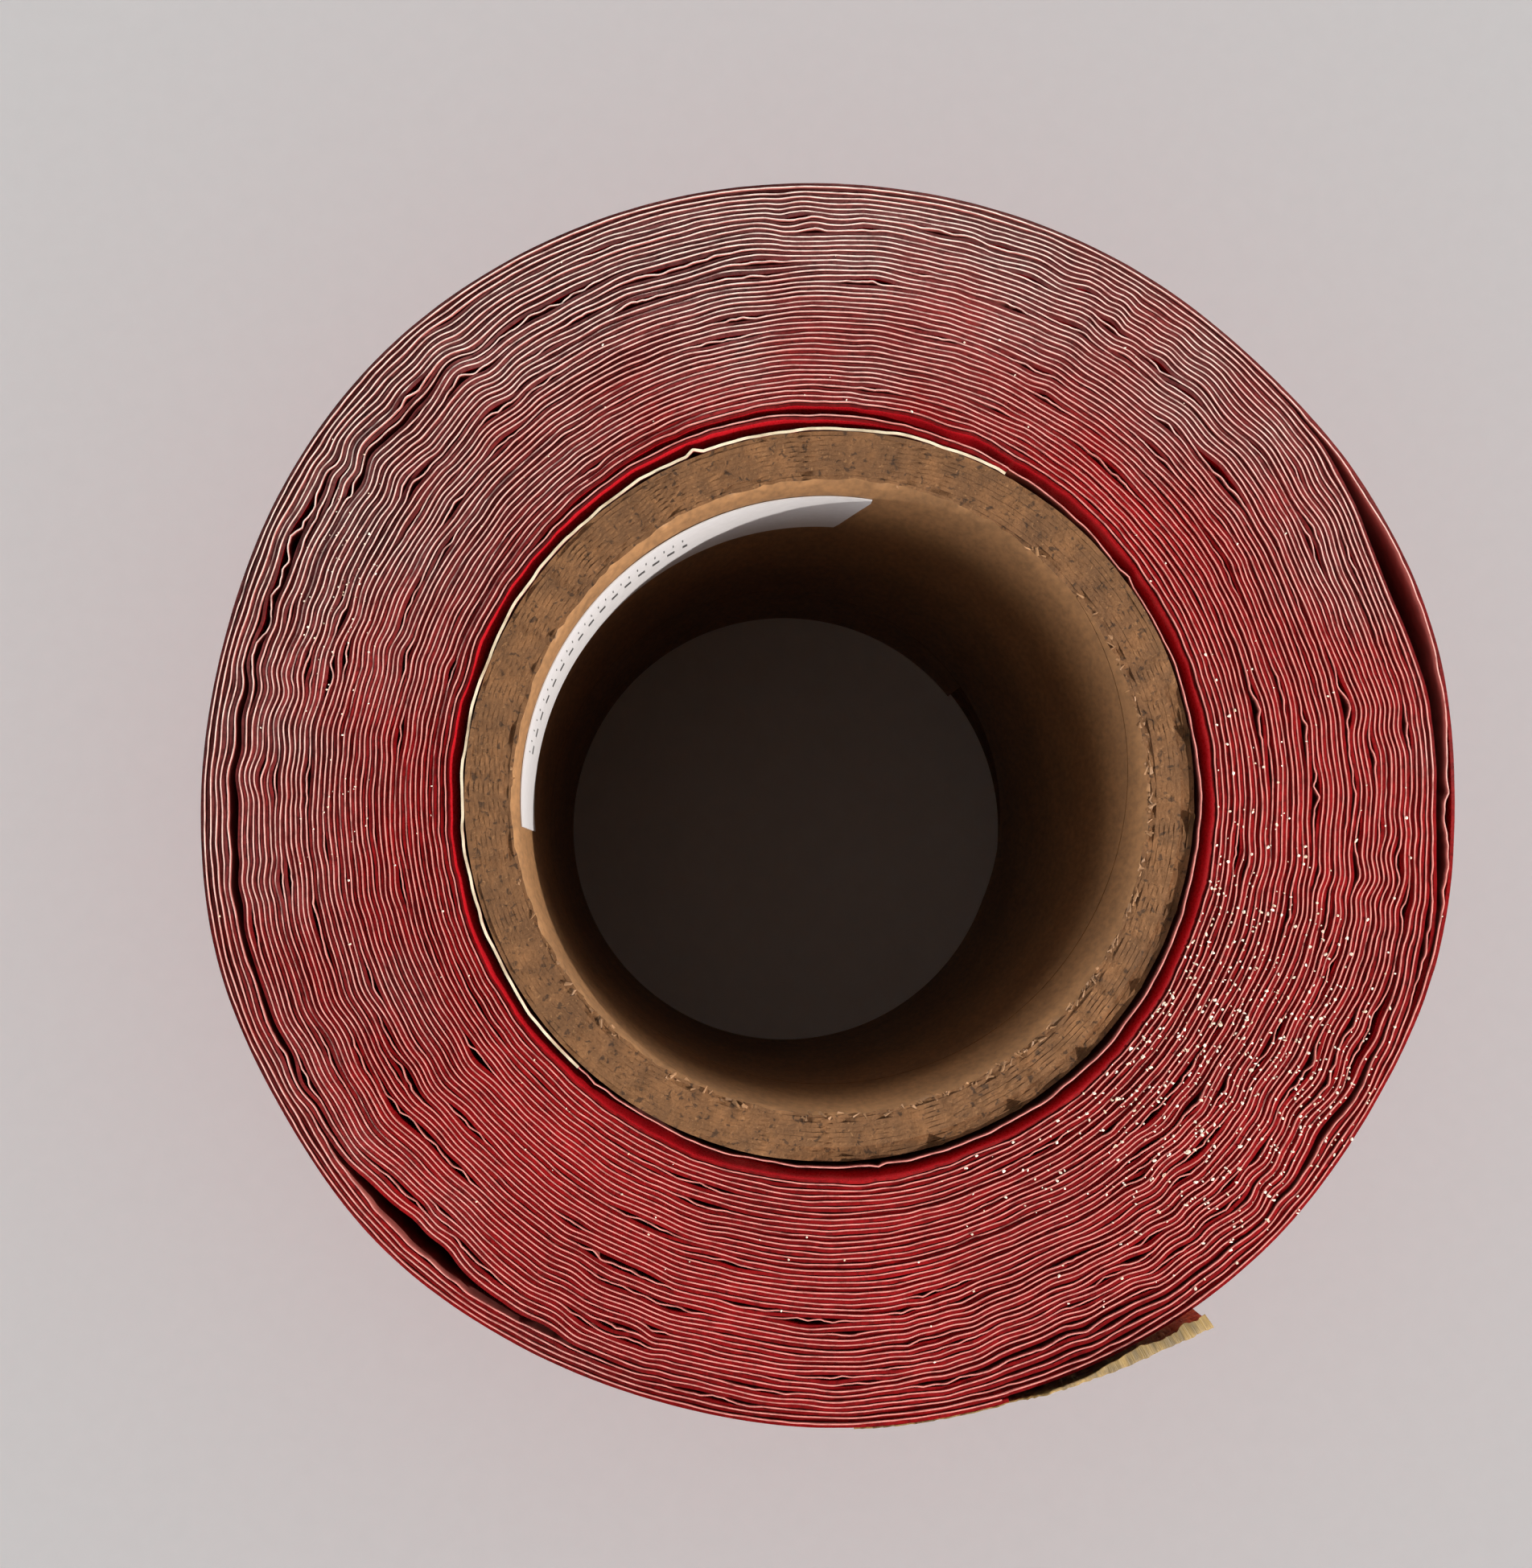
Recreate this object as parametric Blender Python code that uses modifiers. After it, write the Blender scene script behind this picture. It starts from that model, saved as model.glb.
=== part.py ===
"""Roll of sign vinyl standing on its end: a spiral-wound paperboard core, a web of vinyl film on
its release liner wound round the core, and the tape tab that holds the loose tail down.

Metres, +Z up along the core's axis, origin on that axis at the bottom end.
The web runs outwards anticlockwise seen from above. Each lap drawn here stands for two real laps.
"""
import math

import bmesh
import bpy

# Core: ten plies of tube board glued up to a 3 inch bore
BORE_RADIUS = 0.0381
CORE_RADIUS = 0.0440
PLY_COUNT = 10
PLY_GAP = 0.00019
ROLL_HEIGHT = 0.1524

# Web: film outside, liner inside, wound from the lead end on the core to the tail end
FILM_THICKNESS = 0.00045
LINER_THICKNESS = 0.00028
LAYER_GAP = 0.0003
FILM_OFFSET = (LAYER_GAP + LINER_THICKNESS) / 2
LINER_OFFSET = -(LAYER_GAP + FILM_THICKNESS) / 2
LEAD_ANGLE = math.radians(61.5)
LAP_COUNT = 21.625
START_RADIUS = 0.0451
END_RADIUS = 0.0752
# The pack sits a little off the core, further out on this side
DRIFT = 0.0006
DRIFT_ANGLE = math.radians(235)

# Every round piece has corners at the same angles, so that the laps nest
FACETS = 24
FACET_ANGLE = 2 * math.pi / FACETS
TAIL_ANGLE = LEAD_ANGLE + 2 * math.pi * LAP_COUNT
PHASE = TAIL_ANGLE % FACET_ANGLE

# The wound film is drawn in four stretches, and these are the corners along three of them
INNER_FACETS = 10 * FACETS
MIDDLE_FACETS = FACETS
LAST_FACETS = FACETS

# Tail: three lengths of web that unroll, then the film end that peels off its liner
TAIL_FACETS = 2
TAIL_LENGTHS = 3
FILM_END_FACETS = 1
HINGE_GAP = 0.0004
TAIL_LIFT = 0.0006

# Tape tab over the tail end, and its free end standing proud of the roll
TAPE_THICKNESS = 0.0003
TAPE_WIDTH = 0.0254
TAPE_TOP = ROLL_HEIGHT - 0.0004
TAPE_START_ANGLE = math.radians(272.6)
TAPE_BEND_ANGLE = math.radians(287.1)
TAPE_TIP_ANGLE = math.radians(305.8)
TAPE_TIP_RADIUS = 0.0787

# Label inside the bore, and the tape that fixes the lead end to the core
LABEL_ANGLES = (math.radians(87), math.radians(185))
LABEL_WIDTH = 0.0254
LABEL_DEPTH = 0.0120
LABEL_THICKNESS = 0.0002
LEAD_TAPE_ANGLES = (math.radians(46.5), math.radians(91.5))
LEAD_TAPE_THICKNESS = 0.0002
STUCK_GAP = 0.00025

FILM_RED = (0.42, 0.015, 0.012)
LINER_CREAM = (0.78, 0.62, 0.55)
BOARD_BROWN = (0.24, 0.12, 0.055)
KRAFT_TAN = (0.36, 0.19, 0.09)
TAPE_TAN = (0.50, 0.32, 0.10)
LABEL_WHITE = (0.85, 0.84, 0.82)


def clear_scene():
    for old in list(bpy.data.objects):
        bpy.data.objects.remove(old, do_unlink=True)


def make_collection():
    collection = bpy.data.collections.new("sign_vinyl_roll")
    bpy.context.scene.collection.children.link(collection)
    return collection


def make_material(name, colour, roughness):
    material = bpy.data.materials.new(name)
    material.use_nodes = True
    shader = material.node_tree.nodes["Principled BSDF"]
    shader.inputs["Base Color"].default_value = (*colour, 1)
    shader.inputs["Roughness"].default_value = roughness
    shader.inputs["Metallic"].default_value = 0
    material.diffuse_color = (*colour, 1)
    return material


def on_facets(angle, corner_radius):
    """Point of a many-sided ring at this angle, where the ring's corners have this radius."""
    past_corner = (angle - PHASE) % FACET_ANGLE
    half = FACET_ANGLE / 2
    radius = corner_radius * math.cos(half) / math.cos(past_corner - half)
    return radius * math.cos(angle), radius * math.sin(angle)


def web_radius(angle):
    """Radius of the web's middle, counted from the lead end through all its laps."""
    wound = (angle - LEAD_ANGLE) / (TAIL_ANGLE - LEAD_ANGLE)
    drift = DRIFT * wound * math.cos(angle - DRIFT_ANGLE)
    return START_RADIUS + (END_RADIUS - START_RADIUS) * wound + drift


def web_path(start, facet_count, offset):
    """Corners of a length of film or liner, with a small gap left at each end for a hinge."""
    points = []
    for step in range(facet_count + 1):
        angle = start + step * FACET_ANGLE
        trim = HINGE_GAP / 2 / web_radius(angle)
        if step == 0:
            angle += trim
        elif step == facet_count:
            angle -= trim
        points.append(on_facets(angle, web_radius(angle) + offset))
    return points


def ring_path(start, end, radius):
    """Arc of a round wall, with the ring's own corners and an end at each given angle."""
    first = math.ceil((start - PHASE) / FACET_ANGLE + 0.01)
    last = math.floor((end - PHASE) / FACET_ANGLE - 0.01)
    angles = [start] + [PHASE + corner * FACET_ANGLE for corner in range(first, last + 1)] + [end]
    return [on_facets(angle, radius) for angle in angles]


def shade_round(piece):
    """Smooth shading in which the narrow edge faces don't tilt the wide ones."""
    piece.data.shade_smooth()
    piece.modifiers.new("shading", "WEIGHTED_NORMAL")


def make_strip(name, path, bottom, top, thickness, material, collection, pivot=None):
    """A standing strip along a path, solid to the given thickness, hung on its pivot if it moves."""
    base = pivot.matrix_world.translation if pivot else (0, 0, 0)
    shape = bmesh.new()
    corners = [shape.verts.new((x - base[0], y - base[1], bottom)) for x, y in path]
    edges = [shape.edges.new(pair) for pair in zip(corners, corners[1:])]
    raised = bmesh.ops.extrude_edge_only(shape, edges=edges)["geom"]
    upper = [item for item in raised if isinstance(item, bmesh.types.BMVert)]
    bmesh.ops.translate(shape, verts=upper, vec=(0, 0, top - bottom))
    mesh = bpy.data.meshes.new(name)
    shape.to_mesh(mesh)
    shape.free()
    mesh.materials.append(material)
    strip = bpy.data.objects.new(name, mesh)
    collection.objects.link(strip)
    strip.parent = pivot
    wall = strip.modifiers.new("thickness", "SOLIDIFY")
    wall.thickness = thickness
    wall.offset = 0
    wall.use_even_offset = True
    shade_round(strip)
    return strip


def make_ply(name, inner, outer, material, collection):
    """One ply of the core, turned from its section."""
    mesh = bpy.data.meshes.new(name)
    section = [(outer, 0, ROLL_HEIGHT), (outer, 0, 0), (inner, 0, 0), (inner, 0, ROLL_HEIGHT)]
    mesh.from_pydata(section, [(0, 1), (1, 2), (2, 3), (3, 0)], [])
    mesh.materials.append(material)
    ply = bpy.data.objects.new(name, mesh)
    collection.objects.link(ply)
    ply.rotation_euler.z = PHASE
    turn = ply.modifiers.new("turn", "SCREW")
    turn.steps = turn.render_steps = FACETS
    turn.use_merge_vertices = True
    turn.merge_threshold = 0.00001
    turn.use_smooth_shade = True
    shade_round(ply)
    return ply


def make_pivot(name, point, collection, parent=None):
    """Empty on a hinge's upright axis, parented to the hinge before it."""
    pivot = bpy.data.objects.new(name, None)
    pivot.empty_display_size = 0.01
    collection.objects.link(pivot)
    pivot.parent = parent
    base = parent.matrix_world.translation if parent else (0, 0, 0)
    pivot.location = (point[0] - base[0], point[1] - base[1], 0)
    bpy.context.view_layer.update()
    return pivot


def build_core(collection):
    board = make_material("tube_board", BOARD_BROWN, 0.9)
    kraft = make_material("kraft_facing", KRAFT_TAN, 0.8)
    pitch = (CORE_RADIUS - BORE_RADIUS + PLY_GAP) / PLY_COUNT
    for index in range(PLY_COUNT):
        inner = BORE_RADIUS + index * pitch
        facing = index in (0, PLY_COUNT - 1)
        name = f"core_ply_{index + 1:02d}"
        make_ply(name, inner, inner + pitch - PLY_GAP, kraft if facing else board, collection)


def build_label(collection):
    paper = make_material("label_paper", LABEL_WHITE, 0.5)
    radius = BORE_RADIUS - STUCK_GAP - LABEL_THICKNESS / 2
    top = ROLL_HEIGHT - LABEL_DEPTH
    path = ring_path(*LABEL_ANGLES, radius)
    make_strip("core_label", path, top - LABEL_WIDTH, top, LABEL_THICKNESS, paper, collection)


def build_lead_tape(collection, material):
    radius = CORE_RADIUS + STUCK_GAP + LEAD_TAPE_THICKNESS / 2
    middle = ROLL_HEIGHT / 2
    path = ring_path(*LEAD_TAPE_ANGLES, radius)
    make_strip("lead_tape", path, middle - TAPE_WIDTH, middle + TAPE_WIDTH,
               LEAD_TAPE_THICKNESS, material, collection)


def build_web(collection, film, liner):
    """The wound laps, then the tail lengths, each on the hinge of the one before it."""
    tail_total = TAIL_LENGTHS * TAIL_FACETS + FILM_END_FACETS
    wound_facets = round(LAP_COUNT * FACETS) - tail_total
    path = web_path(LEAD_ANGLE, wound_facets, LINER_OFFSET)
    make_strip("release_liner_wound", path, 0, ROLL_HEIGHT, LINER_THICKNESS, liner, collection)

    outer_facets = wound_facets - INNER_FACETS - MIDDLE_FACETS - LAST_FACETS
    start = LEAD_ANGLE
    for name, facet_count in (
            ("vinyl_film_inner_laps", INNER_FACETS), ("vinyl_film_middle_lap", MIDDLE_FACETS),
            ("vinyl_film_outer_laps", outer_facets), ("vinyl_film_last_lap", LAST_FACETS)):
        path = web_path(start, facet_count, FILM_OFFSET)
        make_strip(name, path, 0, ROLL_HEIGHT, FILM_THICKNESS, film, collection)
        start += facet_count * FACET_ANGLE

    pivot = None
    for length in range(TAIL_LENGTHS):
        start = TAIL_ANGLE - (tail_total - length * TAIL_FACETS) * FACET_ANGLE
        pivot = make_pivot(f"tail_hinge_{length + 1}", on_facets(start, web_radius(start)),
                           collection, pivot)
        last = length == TAIL_LENGTHS - 1
        liner_facets = TAIL_FACETS + (FILM_END_FACETS if last else 0)
        film_path = web_path(start, TAIL_FACETS, FILM_OFFSET)
        liner_path = web_path(start, liner_facets, LINER_OFFSET)
        make_strip(f"vinyl_film_tail_{length + 1}", film_path, TAIL_LIFT, ROLL_HEIGHT,
                   FILM_THICKNESS, film, collection, pivot)
        make_strip(f"release_liner_tail_{length + 1}", liner_path, TAIL_LIFT, ROLL_HEIGHT,
                   LINER_THICKNESS, liner, collection, pivot)
    return pivot


def build_film_end(collection, film, tape, parent):
    """The film's end, which peels off the liner and carries the tape tab."""
    start = TAIL_ANGLE - FILM_END_FACETS * FACET_ANGLE
    film_radius = web_radius(start) + FILM_OFFSET
    film_hinge = make_pivot("film_hinge", on_facets(start, film_radius), collection, parent)
    path = web_path(start, FILM_END_FACETS, FILM_OFFSET)
    make_strip("vinyl_film_end", path, TAIL_LIFT, ROLL_HEIGHT, FILM_THICKNESS, film, collection,
               film_hinge)

    radius = web_radius(TAIL_ANGLE) + FILM_OFFSET + (FILM_THICKNESS + TAPE_THICKNESS) / 2
    radius += LAYER_GAP
    bottom = TAPE_TOP - TAPE_WIDTH
    path = [on_facets(TAPE_START_ANGLE, radius), on_facets(TAIL_ANGLE, radius)]
    make_strip("tape_tab_stuck", path, bottom, TAPE_TOP, TAPE_THICKNESS, tape, collection,
               film_hinge)

    bend = (radius * math.cos(TAPE_BEND_ANGLE), radius * math.sin(TAPE_BEND_ANGLE))
    tip = (TAPE_TIP_RADIUS * math.cos(TAPE_TIP_ANGLE), TAPE_TIP_RADIUS * math.sin(TAPE_TIP_ANGLE))
    share = HINGE_GAP / math.dist(bend, tip)
    root = tuple(a + (b - a) * share for a, b in zip(bend, tip))
    tape_hinge = make_pivot("tape_hinge", bend, collection, film_hinge)
    make_strip("tape_tab_free", [root, tip], bottom, TAPE_TOP, TAPE_THICKNESS, tape, collection,
               tape_hinge)


def main():
    clear_scene()
    collection = make_collection()
    film = make_material("vinyl_film", FILM_RED, 0.3)
    liner = make_material("release_liner", LINER_CREAM, 0.6)
    tape = make_material("masking_tape", TAPE_TAN, 0.6)
    build_core(collection)
    build_label(collection)
    build_lead_tape(collection, tape)
    tail_end_hinge = build_web(collection, film, liner)
    build_film_end(collection, film, tape, tail_end_hinge)


main()
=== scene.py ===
"""Roll of red sign vinyl standing on its end: the looks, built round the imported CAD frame."""

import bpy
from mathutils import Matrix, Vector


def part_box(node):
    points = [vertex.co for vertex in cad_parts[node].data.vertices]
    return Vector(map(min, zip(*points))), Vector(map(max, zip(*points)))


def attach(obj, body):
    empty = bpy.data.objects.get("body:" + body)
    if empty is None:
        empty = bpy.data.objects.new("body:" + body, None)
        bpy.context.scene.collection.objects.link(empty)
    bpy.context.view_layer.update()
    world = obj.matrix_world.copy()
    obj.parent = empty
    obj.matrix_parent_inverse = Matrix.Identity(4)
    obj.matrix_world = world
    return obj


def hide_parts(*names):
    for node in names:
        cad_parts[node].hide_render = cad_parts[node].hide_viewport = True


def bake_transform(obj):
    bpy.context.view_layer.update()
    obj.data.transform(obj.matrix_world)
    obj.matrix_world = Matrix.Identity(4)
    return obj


bl_info = {
    "name": "Roll of sign vinyl",
    "version": (1, 0, 0),
    "blender": (4, 5, 0),
    "location": "3D View > Sidebar > Vinyl roll",
    "description": "Builds a loosely wound roll of red sign vinyl on its paperboard core",
    "category": "Object",
}

import math

import bmesh
import bpy
import numpy as np
from bpy.props import FloatProperty, FloatVectorProperty, PointerProperty
from mathutils import Matrix, Vector

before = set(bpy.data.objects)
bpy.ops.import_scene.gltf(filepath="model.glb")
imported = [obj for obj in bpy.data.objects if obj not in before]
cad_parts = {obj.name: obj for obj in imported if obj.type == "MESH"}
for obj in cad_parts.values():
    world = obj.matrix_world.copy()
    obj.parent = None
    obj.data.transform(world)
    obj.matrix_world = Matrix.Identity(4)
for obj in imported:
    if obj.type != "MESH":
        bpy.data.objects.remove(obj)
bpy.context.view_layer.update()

MM = 0.001
CORE_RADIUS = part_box("core_ply_10")[1].x
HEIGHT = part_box("core_ply_10")[1].z
BORE_RADIUS = 0.0381
PLY_COUNT = 10

# Winding: angles are counted anticlockwise from +X, seen from above
LEAD_ANGLE = math.radians(61.5)
LAPS = 43.625
LAP_STATIONS = 1200
# Hinges of the tail, one every thirty degrees, and the ends of its lengths
HINGE_TURNS = [LAPS - degrees / 360 for degrees in (105, 75, 45, 15)]
# Room between the core and the first lap: share of the lap and millimetres
FIRST_LAP_CLEARANCE = (
    (0.00, 0.25), (0.15, 0.30), (0.30, 0.35), (0.45, 0.45), (0.55, 0.60), (0.65, 0.80), (0.75, 0.80),
    (0.83, 0.55), (0.90, 0.40), (0.96, 0.50), (1.00, 0.75))
# Where the first lap is kinked outwards: share of the lap, height and half width in mm
FIRST_LAP_KINKS = (
    (0.139, 0.55, 1.1), (0.165, 0.2, 2.5), (0.47, 0.3, 1.5), (0.93, 0.35, 1.4), (0.60, 0.3, 1.0))
# A loose roll isn't round: radius of its outermost lap in millimetres, from the tail all the way round
OUTLINE = (
    (286.5, 75.2), (315, 75.6), (330, 75.3), (345, 75.7), (360, 75.2), (375, 75.3), (390, 74.4),
    (405, 73.3), (420, 73.3), (435, 73.4), (450, 73.8), (465, 74.5), (480, 75.2), (495, 75.8),
    (510, 75.7), (525, 75.3), (540, 75.7), (555, 76.3), (570, 76.0), (585, 76.5), (600, 76.0),
    (615, 75.7), (630, 76.0), (646.5, 76.0))
# Places where the web has parted: degrees, laps in from the outermost, half width in degrees,
# opening in mm, and how freely the liner wanders in the opening
PARTINGS = (
    (20, 0, 12, 3.0, 0.0), (-2, 0, 10, 1.5, 0.5), (-14, 1, 8, 0.6, 0.9), (-31, 3, 10, 0.9, 0.1),
    (-24, 5, 5, 0.7, 0.9), (-60, 3, 7, 0.5, 0.2), (-64, 1, 9, 0.5, 0.1), (-66, 2, 9, 0.6, 0.1),
    (-68, 4, 9, 0.9, 0.4), (-100, 2, 6, 0.5, 0.7), (227, 3, 9, 2.7, 0.12), (243, 3, 6, 0.6, 0.3),
    (206, 4, 8, 0.7, 0.3), (183, 4, 16, 1.1, 0.1), (163, 5, 9, 0.8, 0.6), (151, 5, 7, 0.6, 0.9),
    (139, 9, 9, 0.9, 0.2), (121, 10, 7, 0.7, 0.8), (106, 12, 6, 0.6, 0.9))
# Small buckles, where the liner has let go of the film: how many, their widths in millimetres, their
# openings in shares of the mean pitch, and how they squeeze or open the laps beside them
BUCKLES = 210
BUCKLE_WIDTHS = (1.6, 4.5)
BUCKLE_OPENINGS = (0.35, 1.05)
BUCKLE_SPREAD = ((-3, -0.12), (-2, -0.18), (-1, -0.20), (0, 1.0), (1, -0.20), (2, -0.18), (3, -0.12))
# Mean room for one lap, the smallest share of it that a lap takes, and the gap between its two layers
MEAN_PITCH = 0.69 * MM
TIGHTEST_SPACE = 0.86
WEB_GAP = 0.02 * MM
# Room left round the first lap, whose film flares outwards at the top, and the laps where it is left
FLARE_ROOM = 1.5 * MM
FLARE_TURNS = (1.0, 1.1, 2.0, 2.25)
# How far down the outer plies have worn on one side of the core
LEDGE_DEPTH = 0.8 * MM

# Where the stickers lie round the roll, in degrees; the label's last degrees are cut on a slant
LABEL_DEGREES = (185, 81)
LABEL_SLANT = 5
LEAD_TAPE_DEGREES = (46.5, 91.5)
STUCK_TAPE_DEGREES = (272.2, 287.3)

# Dust: centre and spread in mm, number of specks, smallest and largest speck in mm
DUST_CLOUDS = (
    (43, -27, 17, 23, 680, 0.17, 0.42), (60, -38, 9, 11, 140, 0.14, 0.34), (0, 0, 60, 60, 90, 0.12, 0.28),
    (-59, 27, 3, 11, 80, 0.10, 0.24), (-60, 2, 4, 12, 30, 0.10, 0.24))

# Camera: it looks straight down from a little to one side of the core's axis, and its lens is
# shifted back onto the roll. The lens length is for the sensor's width, both in millimetres.
CAMERA_PLACE = (-0.0165, -0.0116, 0.4544)
CAMERA_LENS = 57.68
CAMERA_SENSOR = 36
CAMERA_SHIFT = (0.0467, 0.0695)

# Painted light gained for each metre across the roll, paler towards the top and left where the key light
# falls, and the band of the sky's height over which the side glow fades into the top's
PAINTED_LIGHT_SLOPE = (-4.0, 10.0, 0)
GLOW_BAND = (0.38, 0.56)

# Key light: a narrow beam that reaches the roll's upper end and not the floor in view
KEY_ANGLE = math.radians(-26)
KEY_HEIGHT = math.radians(26)
KEY_DISTANCE = 1.5
KEY_BEAM_RADIUS = 0.082
FLOOR_HALF_WIDTH = 3


def linear(hex_colour, alpha=1.0):
    """The linear RGBA of an sRGB colour written as six hex digits."""
    channels = [int(hex_colour[place:place + 2], 16) / 255 for place in (0, 2, 4)]
    return (*[c / 12.92 if c <= 0.04045 else ((c + 0.055) / 1.055) ** 2.4 for c in channels], alpha)


def length_property(name, description, default):
    return FloatProperty(name=name, description=description, default=default, unit="LENGTH", precision=5)


def colour_property(name, description, hex_colour):
    return FloatVectorProperty(name=name, description=description, default=linear(hex_colour),
                               size=4, min=0, max=1, subtype="COLOR")


class RollSizes(bpy.types.PropertyGroup):
    film_thickness: length_property("Film", "Width that one lap of film shows at the end", 0.40 * MM)
    liner_thickness: length_property("Liner", "Width that one lap of liner shows at the end", 0.15 * MM)
    telescoping: length_property("Telescoping", "How far the laps have slid off level", 0.35 * MM)
    tape_thickness: length_property("Tape", "Thickness of the creped tape", 0.16 * MM)
    ply_gap: length_property("Ply gap", "Widest gap where plies of the core have parted", 0.05 * MM)


class RollColours(bpy.types.PropertyGroup):
    film: colour_property("Film", "Red of the film's face", "A8121B")
    film_edge: colour_property("Film edge", "Red of the film's slit edge", "A30F14")
    # Paler red where the edge is scuffed, and painted light where it is paler towards the top and left
    scuffed_and_lit_edge: colour_property("Worn edge", "Paler red of the slit edge where it is scuffed", "844A48")
    liner: colour_property("Liner", "Back of the release liner", "B8645C")
    liner_edge: colour_property("Liner edge", "Slit edge of the release liner", "EA9B91")
    # Paler where the edge is scuffed, and painted light where it is paler towards the top and left
    worn_liner: colour_property("Worn liner edge", "Slit edge of the liner where it is scuffed", "FFE8DC")
    first_liner: colour_property("First liner", "Cream liner of the first lap", "F0E2C4")
    board: colour_property("Board", "Grey brown board of the core", "76502F")
    kraft: colour_property("Kraft", "Smooth tan facing of the core", "9C7149")
    label: colour_property("Label", "White label paper", "D9D6D8")
    tape: colour_property("Tape", "Creped masking tape", "9A7C44")
    dust: colour_property("Dust", "Paper dust and slitting chips", "FFF4E4")
    floor: colour_property("Floor", "Pale studio floor", "F4F4F3")


class StageLight(bpy.types.PropertyGroup):
    key_power: FloatProperty(name="Key power", description="Watts of the narrow key light", default=122)
    key_size: length_property("Key size", "Radius of the key light's source", 0.012)
    side_glow: FloatProperty(name="Side glow", description="Brightness of the studio's walls", default=2.95)
    top_glow: FloatProperty(name="Top glow", description="Brightness right overhead", default=0.05)


# ---------------------------------------------------------------- shaping helpers

def smooth_noise(position, spacing, seed):
    """A random curve between -1 and 1 read at each position, with a new height every spacing."""
    place = np.asarray(position, float) / spacing
    cell = np.floor(place).astype(int)
    part = place - cell
    part = part * part * (3 - 2 * part)
    cell = cell - cell.min()
    heights = np.random.default_rng(seed).uniform(-1, 1, cell.max() + 2)
    return heights[cell] * (1 - part) + heights[cell + 1] * part


def kinked_noise(position, spacing, seed):
    """Like smooth_noise, but it runs straight from one height to the next, with a kink at each."""
    place = np.asarray(position, float) / spacing
    knots = np.arange(math.floor(place.min()), math.ceil(place.max()) + 1)
    return np.interp(place, knots, np.random.default_rng(seed).uniform(-1, 1, len(knots)))


def nested_noise(turn, laps, around, seed):
    """Random waves round the roll that neighbouring laps share, changing over a few laps."""
    rows = turn / laps
    columns = (turn % 1) * around
    row, column = np.floor(rows).astype(int), np.floor(columns).astype(int)
    down, over = rows - row, columns - column
    down, over = down * down * (3 - 2 * down), over * over * (3 - 2 * over)
    heights = np.random.default_rng(seed).uniform(-1, 1, (row.max() + 2, around))
    near, far = column % around, (column + 1) % around
    upper = heights[row, near] * (1 - over) + heights[row, far] * over
    lower = heights[row + 1, near] * (1 - over) + heights[row + 1, far] * over
    return upper * (1 - down) + lower * down


def curve_through(pairs, at):
    """Smooth curve through (place, value) pairs."""
    places, values = np.array(pairs, float).T
    slopes = np.gradient(values, places)
    at = np.clip(at, places[0], places[-1])
    index = np.clip(np.searchsorted(places, at) - 1, 0, len(places) - 2)
    span = places[index + 1] - places[index]
    t = (at - places[index]) / span
    return ((2 * t ** 3 - 3 * t ** 2 + 1) * values[index] + (t ** 3 - 2 * t ** 2 + t) * span * slopes[index]
            + (3 * t ** 2 - 2 * t ** 3) * values[index + 1] + (t ** 3 - t ** 2) * span * slopes[index + 1])


def new_object(name, mesh, *materials):
    for material in materials:
        mesh.materials.append(material)
    piece = bpy.data.objects.new(name, mesh)
    bpy.context.scene.collection.objects.link(piece)
    return piece


def mesh_from(shape, name):
    mesh = bpy.data.meshes.new(name)
    shape.to_mesh(mesh)
    shape.free()
    return mesh


def settle(piece, crease=40):
    """Applies the piece's modifiers and shades it smooth up to its creases."""
    if piece.modifiers:
        depsgraph = bpy.context.evaluated_depsgraph_get()
        solid = bpy.data.meshes.new_from_object(piece.evaluated_get(depsgraph), depsgraph=depsgraph)
        piece.modifiers.clear()
        old, piece.data = piece.data, solid
        bpy.data.meshes.remove(old)
    piece.data.shade_smooth()
    piece.data.set_sharp_from_angle(angle=math.radians(crease))
    return piece


def read_points(mesh):
    points = np.empty(len(mesh.vertices) * 3, np.float32)
    mesh.vertices.foreach_get("co", points)
    return points.reshape(-1, 3).astype(float)


def write_points(mesh, points):
    mesh.vertices.foreach_set("co", np.asarray(points, np.float32).ravel())
    mesh.update()


def roll_up(name, x, y, low, high, thickness, materials, levels=(0, 1), lean=None):
    """A flat strip bent along a path, given its thickness, with its own map of metres along and up.
    Levels are the heights of its rows of corners, from 0 at its lower edge to 1 at its upper edge."""
    columns, rows = len(x) - 1, len(levels) - 1
    shape = bmesh.new()
    shape.loops.layers.uv.new("strip")
    bmesh.ops.create_grid(shape, x_segments=columns, y_segments=rows, size=0.5, calc_uvs=True)
    mesh = mesh_from(shape, name)
    flat = read_points(mesh)
    flat = (flat - flat.min(0)) / np.maximum(np.ptp(flat, axis=0), 1e-9)
    column = np.rint(flat[:, 0] * columns).astype(int)
    up = np.asarray(levels, float)[np.rint(flat[:, 1] * rows).astype(int)]
    low, high = np.broadcast_to(low, len(x)), np.broadcast_to(high, len(x))
    points = np.stack([x[column], y[column], low[column] + (high - low)[column] * up], axis=1)
    if lean is not None:
        points[:, :2] += lean(column, up)
    write_points(mesh, points)
    along = np.concatenate([[0], np.cumsum(np.hypot(np.diff(x), np.diff(y)))])
    corner = np.empty(len(mesh.loops), np.int32)
    mesh.loops.foreach_get("vertex_index", corner)
    strip_map = np.stack([along[column], points[:, 2]], axis=1)[corner]
    mesh.uv_layers["strip"].uv.foreach_set("vector", strip_map.astype(np.float32).ravel())
    piece = new_object(name, mesh, *materials)
    wall = piece.modifiers.new("thickness", "SOLIDIFY")
    wall.thickness = thickness
    wall.offset = 0
    wall.material_offset_rim = 1
    return settle(piece)


# ---------------------------------------------------------------- winding

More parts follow.
